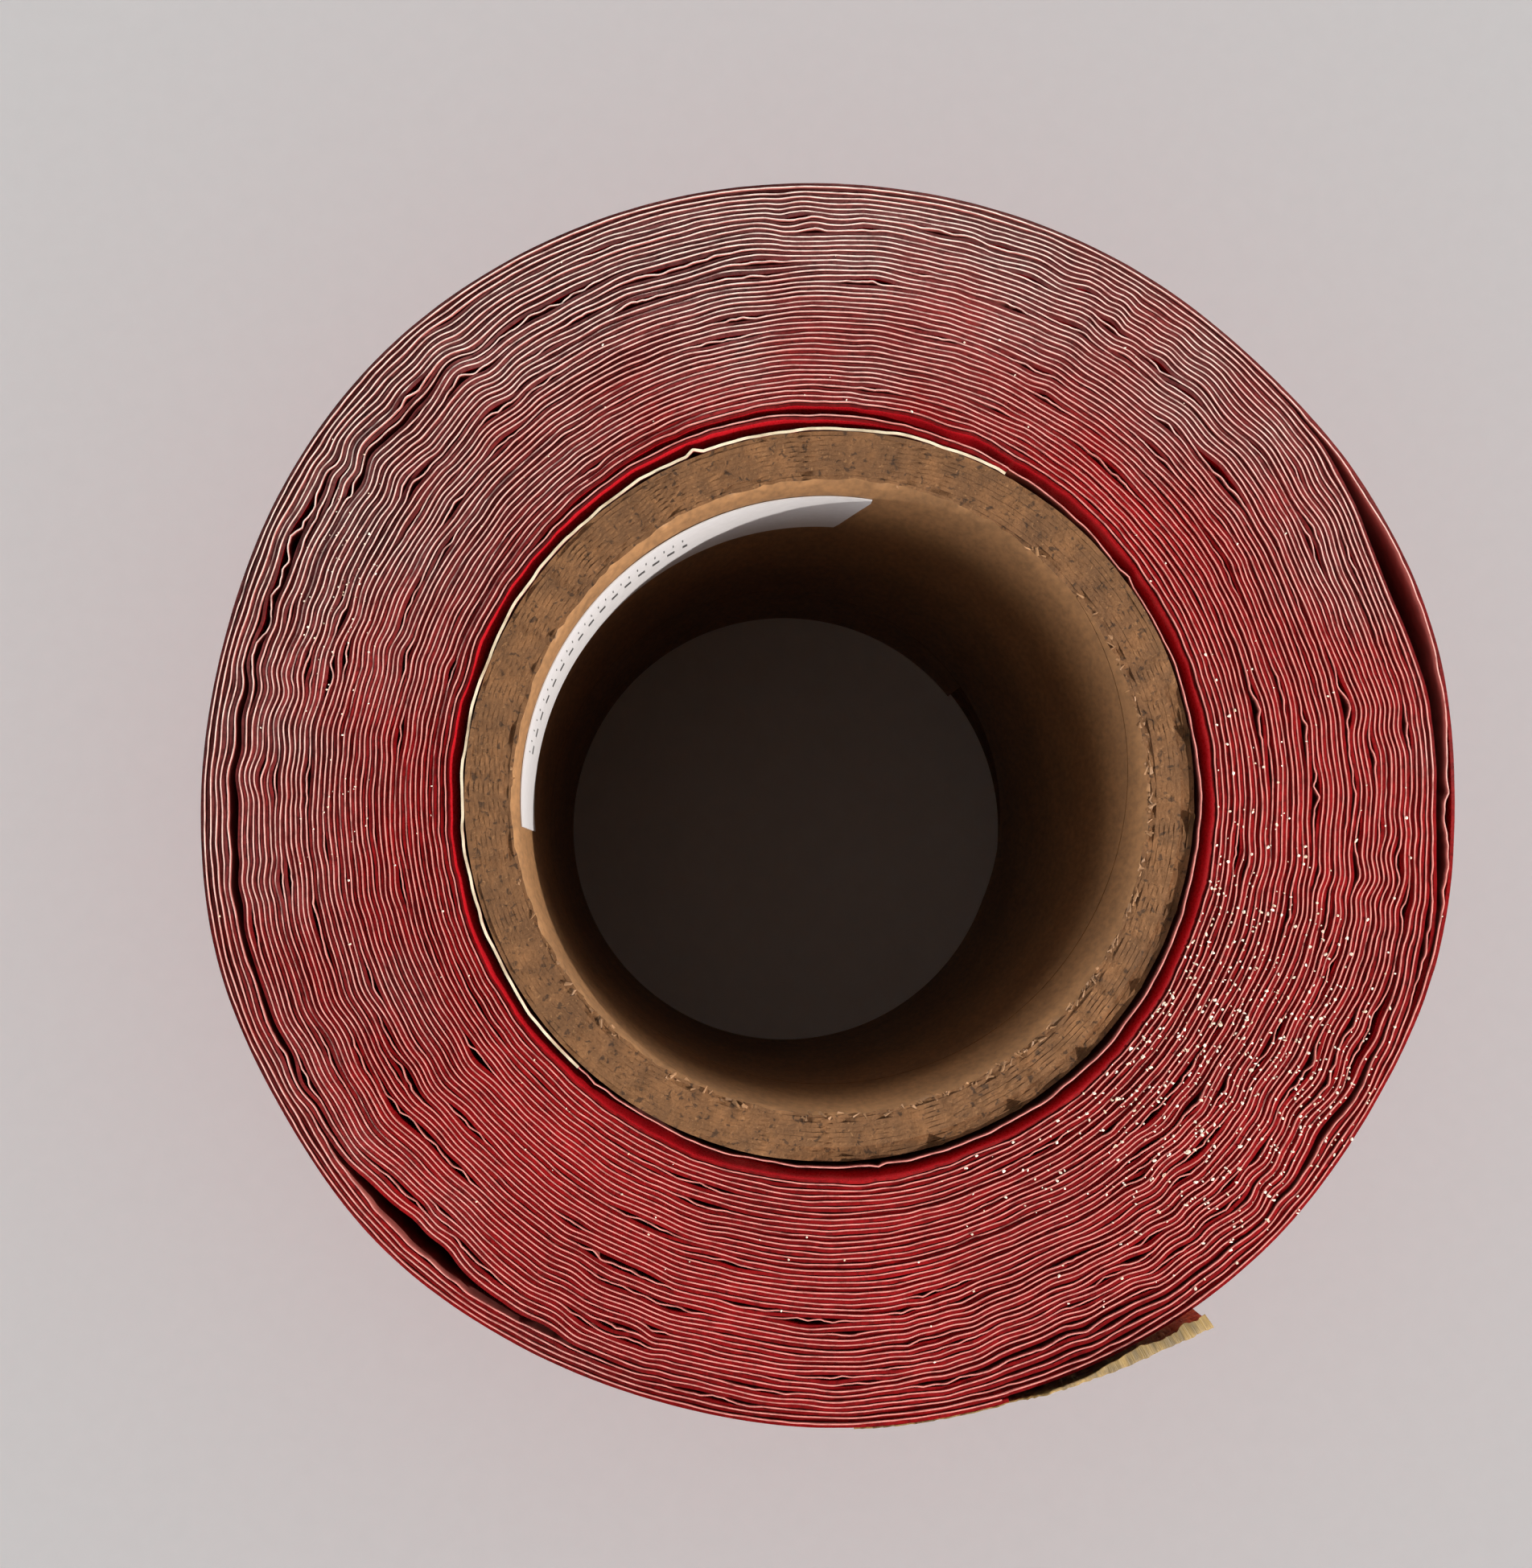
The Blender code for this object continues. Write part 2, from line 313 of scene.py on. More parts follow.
class Winding:
    """Where film and liner lie at every station, from the lead end to the tail end."""

    def __init__(self, sizes):
        self.count = round(LAPS * LAP_STATIONS) + 1
        self.station = np.arange(self.count) % LAP_STATIONS
        self.turn = np.arange(self.count) / LAP_STATIONS
        self.angle = LEAD_ANGLE + 2 * math.pi * self.turn
        space, loose = self.space_taken()
        radius = self.scaled_to_outline(space, sizes)
        self.press_apart(radius, sizes.film_thickness + sizes.liner_thickness + WEB_GAP)
        self.lay_film(radius)
        self.lay_liner(loose, sizes)
        self.set_edges(sizes)

    @staticmethod
    def slow(turn, seed):
        """Random change from lap to lap and round the roll, slower than a lap is long."""
        return smooth_noise(turn, 0.37, seed)

    def space_taken(self):
        """The space that each lap takes, in shares of the mean pitch, and where the liner has let go."""
        space = 1 + 0.10 * self.slow(self.turn, 3) + 0.05 * self.slow(self.turn * 2.7, 4)
        loose = np.zeros(self.count)
        space += FLARE_ROOM / MEAN_PITCH * np.interp(self.turn, FLARE_TURNS, (0, 1, 1, 0))
        for degrees_round, laps_in, half_width, opening, freedom in PARTINGS:
            offset = (math.degrees(LEAD_ANGLE) + 360 * LAPS - degrees_round) % 360 / 360
            centre = LAPS - offset - laps_in
            bell = np.exp(-((self.turn - centre) * 360 / half_width) ** 2)
            space += opening * MM / MEAN_PITCH * bell
            loose = np.maximum(loose, freedom * bell)
        draw = np.random.default_rng(5)
        for _ in range(BUCKLES):
            centre = math.sqrt(draw.uniform(9, (LAPS - 5) ** 2))
            width = draw.uniform(*BUCKLE_WIDTHS) * MM / (2 * math.pi * (45 * MM + MEAN_PITCH * centre))
            opening = draw.uniform(*BUCKLE_OPENINGS)
            for lap, share in BUCKLE_SPREAD:
                wide = width * (1 + 0.25 * abs(lap))
                first, last = [round((centre + lap + side * wide) * LAP_STATIONS) for side in (-3, 3)]
                part = slice(max(first, LAP_STATIONS), last)
                bell = np.exp(-((self.turn[part] - centre - lap) / wide) ** 2)
                space[part] += opening * share * bell
                if lap == 0:
                    loose[part] = np.maximum(loose[part], bell)
        return np.maximum(space, TIGHTEST_SPACE), loose

    def scaled_to_outline(self, space, sizes):
        """Radius of the film at every station, with the laps laid out from the core to the outline."""
        film, liner = sizes.film_thickness, sizes.liner_thickness
        n, last_start = LAP_STATIONS, self.count - LAP_STATIONS
        core_side = CORE_RADIUS + liner / 2 + 0.01 * MM
        clearance = curve_through(FIRST_LAP_CLEARANCE, np.minimum(self.turn, 1)) * MM
        first = core_side + clearance + film / 2 + liner / 2
        outline_degrees = np.degrees(self.angle)[last_start:] - 360 * math.floor(LAPS - 1)
        outline = curve_through(OUTLINE, outline_degrees) * MM - film / 2
        total = np.zeros(self.count)
        for lap in range(1, math.ceil(LAPS) + 1):
            here = slice(lap * n, min((lap + 1) * n, self.count))
            total[here] = total[lap * n - n:here.stop - n] + space[here]
        # One scale for each angle round the roll, so that the last lap meets the outline. The end
        # of the first lap rises to meet the start of the second, which changes the scale, and so on.
        ease = np.clip((self.turn[:n] - 0.85) / 0.15, 0, 1)
        ease = ease * ease * (3 - 2 * ease)
        kernel = np.exp(-np.linspace(-2, 2, 61) ** 2)
        for _ in range(4):
            base = first[self.station]
            ring = np.empty(n)
            ring[self.station[last_start:]] = (outline - base[last_start:]) / total[last_start:]
            ring = np.concatenate([ring[-30:], ring, ring[:30]])
            ring = np.convolve(ring, kernel / kernel.sum(), "valid")
            first[:n] += ease * (first[0] + total[n] * ring[0] - first[n - 1])
        radius = first[self.station] + total * ring[self.station]
        shared = 0.13 * MM * nested_noise(self.turn, 3.2, 62, 41)
        radius += shared + 0.08 * MM * nested_noise(self.turn, 2.1, 140, 42)
        return self.pulled_smooth(radius, outline)

    def pulled_smooth(self, radius, outline):
        """The outermost laps pulled onto the outline."""
        n, last_start = LAP_STATIONS, self.count - LAP_STATIONS
        miss = np.empty(n)
        miss[self.station[last_start:]] = outline - radius[last_start:]
        # Under the tail's end the outline steps by one lap, and the pull is eased across that step
        seam = last_start % n
        step = miss[seam - 1] - miss[seam]
        fade = np.linspace(0.5, 0, 60)
        miss[(seam + np.arange(60)) % n] += step * fade
        miss[(seam - 1 - np.arange(60)) % n] -= step * fade
        pull = np.clip((self.turn - (LAPS - 9)) / 8, 0, 1)
        return radius + miss[self.station] * pull * pull

    def press_apart(self, radius, web):
        """Keeps every lap off the next one out, and kinks the first lap."""
        n = LAP_STATIONS
        for stop in range(self.count, n, -n):
            here = slice(max(stop - n, n), stop)
            inside = slice(here.start - n, here.stop - n)
            radius[inside] = np.minimum(radius[inside], radius[here] - web)
        for share, height, half_width in FIRST_LAP_KINKS:
            away = np.abs(self.turn - share) * 2 * math.pi * 45 / half_width
            radius += height * MM * np.clip(1 - away, 0, 1)
        self.free = np.full(self.count, 0.15 * MM)
        self.free[n:] = np.maximum(radius[n:] - radius[:-n] - web, 0.01 * MM)

    def lay_film(self, radius):
        """Every lap of film wavers in the room it has, and the last one only a little."""
        n = LAP_STATIONS
        steps = 0.5 * (radius[1:] + radius[:-1]) * 2 * math.pi / n
        self.along = np.concatenate([[0], np.cumsum(steps)])
        waver = 0.6 * smooth_noise(self.along, 6.5 * MM, 11) + 0.4 * smooth_noise(self.along, 2.8 * MM, 12)
        room = np.minimum(self.free, 0.35 * MM)
        self.film = radius + 0.40 * room * waver
        self.film[-n:] = radius[-n:] + 0.1 * room[-n:] * waver[-n:]

    def lay_liner(self, loose, sizes):
        """The liner follows the film's inner side, and wanders where it has let go."""
        film, liner, n = sizes.film_thickness, sizes.liner_thickness, LAP_STATIONS
        inner = np.empty(self.count)
        inner[:n] = CORE_RADIUS + liner / 2 + 0.02 * MM
        inner[n:] = self.film[:-n] + (film + liner) / 2 + 0.015 * MM
        outer = self.film - (film + liner) / 2 - 0.004 * MM
        sway = smooth_noise(self.along, 3.4 * MM, 13) + 0.6 * smooth_noise(self.along, 1.5 * MM, 14)
        share = np.clip(0.22 + 0.28 * sway, 0, 1)
        wander = 0.5 + 0.55 * kinked_noise(self.along, 1.5 * MM, 15)
        wander = wander + 0.15 * kinked_noise(self.along, 0.7 * MM, 16)
        loose = np.clip(loose * 1.6, 0, 1)
        share = share * (1 - loose) + np.clip(wander, 0, 0.97) * loose
        gap = outer - inner
        reach = np.clip(gap, 0, 0.3 * MM) * (1 - loose) + np.clip(gap, 0, 1.3 * MM) * loose
        self.liner = outer - reach * share
        beyond = np.roll(self.liner, -n) - self.film - (film + liner) / 2 - 0.12 * MM
        self.flare = np.maximum(beyond, 0)

    def set_edges(self, sizes):
        """Heights of the upper and lower edges: the laps have slid a little against one another."""
        drift = 0.5 * self.slow(self.turn * 1.3, 7) + 0.5 * smooth_noise(self.along, 21 * MM, 17)
        drift = sizes.telescoping * drift
        fine = 0.05 * MM * smooth_noise(self.along, 2.2 * MM, 18)
        fray = 0.06 * MM * smooth_noise(self.along, 1.1 * MM, 19)
        fray = fray + 0.10 * MM * smooth_noise(self.along, 9 * MM, 20)
        # The outermost laps stand a little proud
        proud = 0.14 * MM * np.clip(self.turn - (LAPS - 3), 0, 1)
        self.film_top = HEIGHT - 0.42 * MM + np.minimum(0.6 * drift + fine, 0.2 * MM)
        self.liner_top = np.minimum(self.film_top + 0.14 * MM + fray + proud, HEIGHT)
        self.film_low = 0.25 * MM + np.maximum(0.5 * drift + fine, -0.2 * MM)
        self.liner_low = np.maximum(self.film_low - 0.08 * MM + fray, 0)

    def piece(self, layer, start, end, name, thickness, materials, levels=(0, 1), lean=None):
        """One stretch of film or liner between two counts of laps."""
        first, last = round(start * LAP_STATIONS), round(end * LAP_STATIONS)
        part = slice(first, last + 1)
        radius, low, top = [getattr(self, layer + which)[part] for which in ("", "_low", "_top")]
        angle = self.angle[part]
        return roll_up(name, radius * np.cos(angle), radius * np.sin(angle), low, top, thickness, materials,
                       levels, lean and lean(angle, first))

    def flare_out(self, angle, first):
        """The first lap's film leans outwards over its top few millimetres, into the room beside it."""
        room = self.flare[first:first + len(angle)]

        def lean(column, up):
            push = room[column] * np.clip((up - 0.965) / 0.035, 0, 1) ** 2
            return np.stack([push * np.cos(angle[column]), push * np.sin(angle[column])], axis=1)
        return lean

    def point(self, turn):
        """Where the film lies after this many laps."""
        index = round(turn * LAP_STATIONS)
        radius, angle = self.film[index], self.angle[index]
        return radius * math.cos(angle), radius * math.sin(angle)


WINDINGS = []


def winding():
    if not WINDINGS:
        WINDINGS.append(Winding(bpy.context.scene.roll_sizes))
    return WINDINGS[0]


# ---------------------------------------------------------------- materials
# Scales of noise count features per metre, so 1000 makes features of a millimetre

def fill(tree, node, sockets):
    """Fills a node's sockets. Each is named or numbered, and takes a value or another node's output."""
    for key, value in dict(sockets).items():
        if isinstance(value, bpy.types.NodeSocket):
            tree.links.new(value, node.inputs[key])
        else:
            node.inputs[key].default_value = value


def add(tree, kind, sockets=(), **settings):
    """Adds a node with its settings and fills its sockets."""
    node = tree.nodes.new(kind)
    for key, value in settings.items():
        setattr(node, key, value)
    fill(tree, node, sockets)
    return node


def shade(colour, factor, tint=(1, 1, 1)):
    """The same colour, lighter or darker."""
    return (*[min(c * factor * t, 1) for c, t in zip(colour, tint)], 1)


def start_material(name):
    """An empty material, its node tree and its shader."""
    material = bpy.data.materials.new(name)
    material.use_nodes = True
    tree = material.node_tree
    tree.nodes.clear()
    shader = add(tree, "ShaderNodeBsdfPrincipled")
    add(tree, "ShaderNodeOutputMaterial", {"Surface": shader.outputs["BSDF"]})
    return material, tree, shader


def strip_map(tree):
    """Metres along and up a rolled-up strip."""
    return add(tree, "ShaderNodeUVMap", uv_map="strip").outputs["UV"]


def solid_map(tree):
    """Metres in the object's own space."""
    return add(tree, "ShaderNodeTexCoord").outputs["Object"]


def stretched(tree, place, scale):
    return add(tree, "ShaderNodeMapping", {"Vector": place, "Scale": scale}).outputs["Vector"]


def noise(tree, place, scale, detail, **more):
    """Clouds of noise. Roughness and distortion may be given too."""
    sockets = {"Vector": place, "Scale": scale, "Detail": detail}
    sockets.update({name.title(): value for name, value in more.items()})
    return add(tree, "ShaderNodeTexNoise", sockets).outputs["Fac"]


def ramp(tree, value, *stops):
    """Reads off a colour, or a grey, between stops of (value, colour or grey)."""
    node = add(tree, "ShaderNodeValToRGB", {"Fac": value})
    elements = node.color_ramp.elements
    while len(elements) < len(stops):
        elements.new(0.5)
    for element, (position, colour) in zip(elements, stops):
        element.position = position
        element.color = colour if isinstance(colour, tuple) else (colour, colour, colour, 1)
    return node.outputs["Color"]


def remap(tree, value, low, high, new_low, new_high):
    """Stretches the values from low to high onto the new ones, and stops there."""
    sockets = {"Value": value, 1: low, 2: high, 3: new_low, 4: new_high}
    return add(tree, "ShaderNodeMapRange", sockets).outputs[0]


def calculate(tree, operation, first, second, **settings):
    return add(tree, "ShaderNodeMath", {0: first, 1: second}, operation=operation, **settings).outputs[0]


def within(tree, value, middle, half_width):
    """1 where the value lies inside the band, 0 outside."""
    return add(tree, "ShaderNodeMath", {0: value, 1: middle, 2: half_width}, operation="COMPARE").outputs[0]


def mix(tree, share, first, second, blend_type="MIX"):
    return add(tree, "ShaderNodeMix", {0: share, 6: first, 7: second}, data_type="RGBA",
               blend_type=blend_type).outputs[2]


def multiply(tree, first, second):
    return mix(tree, 1.0, first, second, "MULTIPLY")


def relief(tree, height, strength, depth, under=None):
    """Bumps of the given depth in metres, which may lie on coarser ones."""
    sockets = {"Height": height, "Strength": strength, "Distance": depth}
    if under is not None:
        sockets["Normal"] = under
    return add(tree, "ShaderNodeBump", sockets).outputs["Normal"]


def calendered_film(colours):
    """Calendered PVC film: an even, glossy face with faint roller grain and long soft ripples."""
    material, tree, shader = start_material("calendered_pvc_film")
    strip = strip_map(tree)
    ripple = noise(tree, stretched(tree, strip, (1, 0.35, 1)), 90, 2)
    grain = noise(tree, strip, 2500, 3)
    tone = ramp(tree, ripple, (0.3, shade(colours.film, 0.94)), (0.7, shade(colours.film, 1.04)))
    wave = relief(tree, ripple, 0.2, 0.6 * MM)
    fill(tree, shader, {
        "Base Color": tone, "Roughness": remap(tree, grain, 0, 1, 0.22, 0.34),
        "Normal": relief(tree, grain, 0.12, 0.05 * MM, wave), "IOR": 1.53, "Coat Weight": 0.15})
    return material


def scuffs_and_painted_light(tree, place):
    """Share of scuffing and painted light from 0 to 1: as scuffing it grows with the distance from the axis,
    in clouds, and as painted light it grows towards the top and left, where the key light falls.
    """
    patch = noise(tree, place, 75, 4)
    vector_math = "ShaderNodeVectorMath"
    across = add(tree, vector_math, {0: place, 1: (1, 1, 0)}, operation="MULTIPLY").outputs["Vector"]
    distance = add(tree, vector_math, {0: across}, operation="LENGTH").outputs["Value"]
    # Painted light: paler towards the top and left of the roll, where the key light falls
    side = add(tree, vector_math, {0: across, 1: PAINTED_LIGHT_SLOPE}, operation="DOT_PRODUCT").outputs["Value"]
    lifted = calculate(tree, "ADD", remap(tree, distance, 47 * MM, 75 * MM, -0.28, 0.48), side)
    return calculate(tree, "ADD", lifted, remap(tree, patch, 0.3, 0.7, -0.3, 0.3), use_clamp=True)


def slit_film_edge(colours):
    """PVC film cut by a slitting knife: deep red, scuffed paler on the outer laps, and painted paler towards
    the top and left as painted light.
    """
    material, tree, shader = start_material("slit_pvc_edge")
    place = solid_map(tree)
    streak = noise(tree, strip_map(tree), 900, 4, roughness=0.6)
    # Paler where scuffed, and painted light: paler towards the top and left
    tone = mix(tree, scuffs_and_painted_light(tree, place), tuple(colours.film_edge), tuple(colours.scuffed_and_lit_edge))
    drawn = multiply(tree, tone, ramp(tree, streak, (0.30, 0.5), (0.50, 0.9), (0.72, 1.0)))
    # Patches at random keep the full red, and the rest is darker
    dulled = multiply(tree, drawn, ramp(tree, noise(tree, place, 48, 3), (0.42, 0.62), (0.68, 1.0)))
    gritty = multiply(tree, dulled, ramp(tree, noise(tree, place, 2600, 2), (0.35, 0.72), (0.6, 1.0)))
    fill(tree, shader, {
        "Base Color": gritty, "Roughness": 0.7, "Normal": relief(tree, streak, 0.5, 0.08 * MM),
        "Specular IOR Level": 0.08, "IOR": 1.53})
    return material


def liner_paper(colours):
    """Siliconed liner paper: smooth and pinkish, with the faint cloud of its fibres."""
    material, tree, shader = start_material("siliconed_liner_paper")
    cloud = noise(tree, strip_map(tree), 700, 4)
    fill(tree, shader, {
        "Base Color": ramp(tree, cloud, (0.3, shade(colours.liner, 0.8)), (0.7, shade(colours.liner, 1.08))),
        "Roughness": 0.48, "Normal": relief(tree, cloud, 0.15, 0.04 * MM), "IOR": 1.45})
    return material


def slit_liner_edge(colours):
    """Liner paper cut by a slitting knife: bright and matt, paler where scuffed and as painted light towards
    the top and left, with painted highlights on its fibre bumps and painted shade between them.
    """
    material, tree, shader = start_material("slit_liner_edge")
    fibre = noise(tree, strip_map(tree), 420, 4, roughness=0.62)
    # Paler where scuffed, and painted light: paler towards the top and left
    tone = mix(tree, scuffs_and_painted_light(tree, solid_map(tree)), tuple(colours.liner_edge), tuple(colours.worn_liner))
    # Painted highlight and painted shade: brighter on the fibre bumps, darker between them
    painted_fibre_light = ramp(tree, fibre, (0.30, (0.45, 0.36, 0.36, 1)), (0.50, (0.85, 0.82, 0.82, 1)), (0.64, 1.0))
    fill(tree, shader, {
        "Base Color": multiply(tree, tone, painted_fibre_light), "Roughness": 0.8,
        "Normal": relief(tree, fibre, 0.4, 0.08 * MM), "Specular IOR Level": 0.1, "IOR": 1.45})
    return material


def first_liner_edge(colours):
    """Uncoated lead of the liner: thick, cream and clean, with a faint cloud of fibres."""
    material, tree, shader = start_material("uncoated_cream_liner")
    fibre = noise(tree, strip_map(tree), 300, 4)
    shadow = shade(colours.first_liner, 0.6, (1, 0.85, 0.75))
    fill(tree, shader, {
        "Base Color": ramp(tree, fibre, (0.32, shadow), (0.58, tuple(colours.first_liner))),
        "Roughness": 0.6, "Normal": relief(tree, fibre, 0.3, 0.08 * MM)})
    return material


def tube_board(colours):
    """Grey-brown board of a spiral-wound tube, sawn across: matted fibres, tan flecks, and pits darkened with
    painted shade.
    """
    material, tree, shader = start_material("sawn_tube_board")
    place = solid_map(tree)
    cloud = noise(tree, place, 300, 6, roughness=0.7)
    fleck = noise(tree, place, 1900, 4, distortion=0.8)
    pit = noise(tree, place, 1250, 4, distortion=0.5)
    tone = ramp(tree, cloud, (0.32, shade(colours.board, 0.68)), (0.50, tuple(colours.board)),
                (0.68, shade(colours.board, 1.4)))
    flecked = mix(tree, ramp(tree, fleck, (0.60, 0.0), (0.74, 0.8)), tone, shade(colours.kraft, 1.0))
    # Painted shade: the pits of the bump below are darkened
    pits_with_painted_shade = multiply(tree, flecked, ramp(tree, pit, (0.34, 0.38), (0.42, 1.0)))
    pits = relief(tree, pit, 0.4, 0.25 * MM)
    fill(tree, shader, {
        "Base Color": pits_with_painted_shade, "Roughness": 0.92, "Normal": relief(tree, cloud, 0.6, 0.6 * MM, pits)})
    return material


def kraft_facing(colours):
    """Machine-glazed kraft paper: smooth and tan, with long fibres and a faint sheen."""
    material, tree, shader = start_material("machine_glazed_kraft")
    place = solid_map(tree)
    fibre = noise(tree, stretched(tree, place, (1, 1, 0.25)), 1300, 5)
    tone = ramp(tree, fibre, (0.32, shade(colours.kraft, 0.72)), (0.66, shade(colours.kraft, 1.12)))
    patch = ramp(tree, noise(tree, place, 70, 3), (0.35, 0.82), (0.65, 1.0))
    fill(tree, shader, {
        "Base Color": multiply(tree, tone, patch), "Roughness": 0.6,
        "Normal": relief(tree, fibre, 0.3, 0.1 * MM)})
    return material


def label_stock(colours):
    """Coated label paper: bright white with a soft sheen and a faint mottle, and two rows of plain bars."""
    material, tree, shader = start_material("coated_label_paper")
    strip = strip_map(tree)
    mottle = noise(tree, solid_map(tree), 900, 3)
    paper = ramp(tree, mottle, (0.3, shade(colours.label, 0.92)), (0.7, tuple(colours.label)))
    # Bars a few millimetres long, in two rows along the middle of the label
    bars = add(tree, "ShaderNodeTexBrick", {
        "Vector": stretched(tree, strip, (1, 0.35, 1)), "Scale": 1.0, "Mortar Size": 0.6 * MM,
        "Mortar Smooth": 0.0, "Brick Width": 2.3 * MM, "Row Height": 1.9 * MM},
        offset=0.37, squash=0.6, squash_frequency=2).outputs["Fac"]
    across = add(tree, "ShaderNodeSeparateXYZ", {0: strip})
    low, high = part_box("core_label")
    rows = within(tree, across.outputs["Y"], low.z * 0.38 + high.z * 0.62, 5.2 * MM)
    run = within(tree, across.outputs["X"], 27 * MM, 18 * MM)
    printed = calculate(tree, "SUBTRACT", calculate(tree, "MULTIPLY", rows, run), bars, use_clamp=True)
    fill(tree, shader, {
        "Base Color": mix(tree, printed, paper, shade(colours.label, 0.12)), "Roughness": 0.45,
        "Normal": relief(tree, mottle, 0.1, 0.04 * MM)})
    return material


def creped_tape(colours):
    """Creped masking tape: tan and matt, crossed by fine crepe ridges, with painted glints of small bright
    spots on a darker ground.
    """
    material, tree, shader = start_material("creped_masking_tape")
    strip = strip_map(tree)
    crepe = noise(tree, stretched(tree, strip, (1, 0.3, 1)), 3000, 4, distortion=0.4)
    tone = ramp(tree, crepe, (0.32, shade(colours.tape, 0.78)), (0.68, shade(colours.tape, 1.1)))
    # Painted glints: small bright spots on a darker ground
    patch = ramp(tree, noise(tree, strip, 900, 3), (0.38, 0.45), (0.62, 1.0))
    fill(tree, shader, {
        "Base Color": multiply(tree, tone, patch), "Roughness": 0.62,
        "Normal": relief(tree, crepe, 0.8, 0.2 * MM)})
    return material


def paper_dust(colours):
    """Dust and chips from slitting: pale, matt specks of paper and adhesive."""
    material, tree, shader = start_material("slitting_dust")
    speck = noise(tree, solid_map(tree), 800, 3)
    shadow = shade(colours.dust, 0.7, (1, 0.85, 0.7))
    fill(tree, shader, {
        "Base Color": ramp(tree, speck, (0.35, shadow), (0.6, tuple(colours.dust))), "Roughness": 0.5})
    return material


def studio_floor(colours):
    """Matt paint on a studio floor: pale and even, with a barely seen roller stipple."""
    material, tree, shader = start_material("matt_floor_paint")
    stipple = noise(tree, solid_map(tree), 260, 3)
    tone = ramp(tree, stipple, (0.3, shade(colours.floor, 0.985)), (0.7, tuple(colours.floor)))
    fill(tree, shader, {"Base Color": tone, "Roughness": 0.8})
    return material


MATERIALS = {}


def finish_for(maker):
    """The one material that a maker makes, made the first time it is asked for."""
    if maker.__name__ not in MATERIALS:
        MATERIALS[maker.__name__] = maker(bpy.context.scene.roll_colours)
    return MATERIALS[maker.__name__]


# ---------------------------------------------------------------- core

def turned_ring(name, section, steps, material):
    """A ring turned from a closed section of (radius, height) points."""
    shape = bmesh.new()
    corners = [shape.verts.new((radius, 0, z)) for radius, z in section]
    edges = [shape.edges.new((a, b)) for a, b in zip(corners, corners[1:] + corners[:1])]
    bmesh.ops.spin(shape, geom=corners + edges, cent=(0, 0, 0), axis=(0, 0, 1), dvec=(0, 0, 0),
                   angle=2 * math.pi, steps=steps, use_merge=True, use_normal_flip=False,
                   use_duplicate=False)
    bmesh.ops.recalc_face_normals(shape, faces=shape.faces)
    return new_object(name, mesh_from(shape, name), material)


def ledge(angle):
    """Share of the full depth to which the outer plies have worn down, on one side of the core."""
    offset = (np.degrees(angle) + 40 + 180) % 360 - 180
    return np.clip((62 - np.abs(offset)) / 9, 0, 1)


def build_ply(index, sizes):
    """One ply of board, its upper edge torn and its joint with the next ply open in places."""
    pitch = (CORE_RADIUS - BORE_RADIUS) / PLY_COUNT
    inner = BORE_RADIUS + index * pitch
    outer = inner + pitch
    steps = 1200
    section = [(inner, 0.2 * MM), (inner, HEIGHT - 1.2 * MM), (inner, HEIGHT), (inner + pitch * 0.3, HEIGHT),
               (inner + pitch * 0.65, HEIGHT), (outer, HEIGHT), (outer, HEIGHT - 1.2 * MM), (outer, 0.2 * MM)]
    piece = turned_ring(f"core_board_{index + 1:02d}", section, steps, finish_for(tube_board))
    points = read_points(piece.data)
    radius = np.hypot(points[:, 0], points[:, 1])
    angle = np.arctan2(points[:, 1], points[:, 0]) % (2 * math.pi)
    arc = angle * 41 * MM
    upper = points[:, 2] > HEIGHT - 0.1 * MM
    shoulder = points[:, 2] > HEIGHT - 2 * MM
    outside = radius > inner + pitch * 0.9
    inside = radius < inner + pitch * 0.1
    # Where plies part on the right-hand side, and a little elsewhere
    open_side = np.clip(0.30 + 0.7 * np.cos(angle - math.radians(-15)), 0, 1)
    slit = np.clip(smooth_noise(arc + 0.31 * index, 5 * MM, 200 + index) - 0.15, 0, 1) * open_side
    slit = slit * np.clip(np.minimum(arc, arc.max() - arc) / (4 * MM), 0, 1)
    radius = radius - np.where(outside & shoulder, slit * sizes.ply_gap * 1.6, 0)
    radius = radius - np.where(outside, 0.004 * MM, 0)
    radius += np.where(upper & inside, 0.01 * MM * smooth_noise(arc, 0.8 * MM, 230 + index), 0)
    ragged = 0.6 * smooth_noise(arc + 3 * radius, 0.7 * MM, 260)
    ragged = ragged + 0.4 * smooth_noise(arc - 4 * radius, 1.1 * MM, 290)
    pits = np.clip(smooth_noise(arc + 2 * radius, 0.9 * MM, 320) - 0.5, 0, 1)
    lower = 0.22 + 0.07 * ragged + 0.2 * pits
    if index == 1:
        lower += 0.25 * np.clip(smooth_noise(arc, 1.6 * MM, 340), 0, 1)
    if index >= PLY_COUNT - 3:
        lower = lower + LEDGE_DEPTH / MM * ledge(angle)
    points[:, 2] = np.where(upper, HEIGHT - MM * np.maximum(lower, 0.02), points[:, 2])
    points[:, 0], points[:, 1] = radius * np.cos(angle), radius * np.sin(angle)
    write_points(piece.data, points)
    settle(piece, 60)
    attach(piece, "roll")
    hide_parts(f"core_ply_{index + 1:02d}")


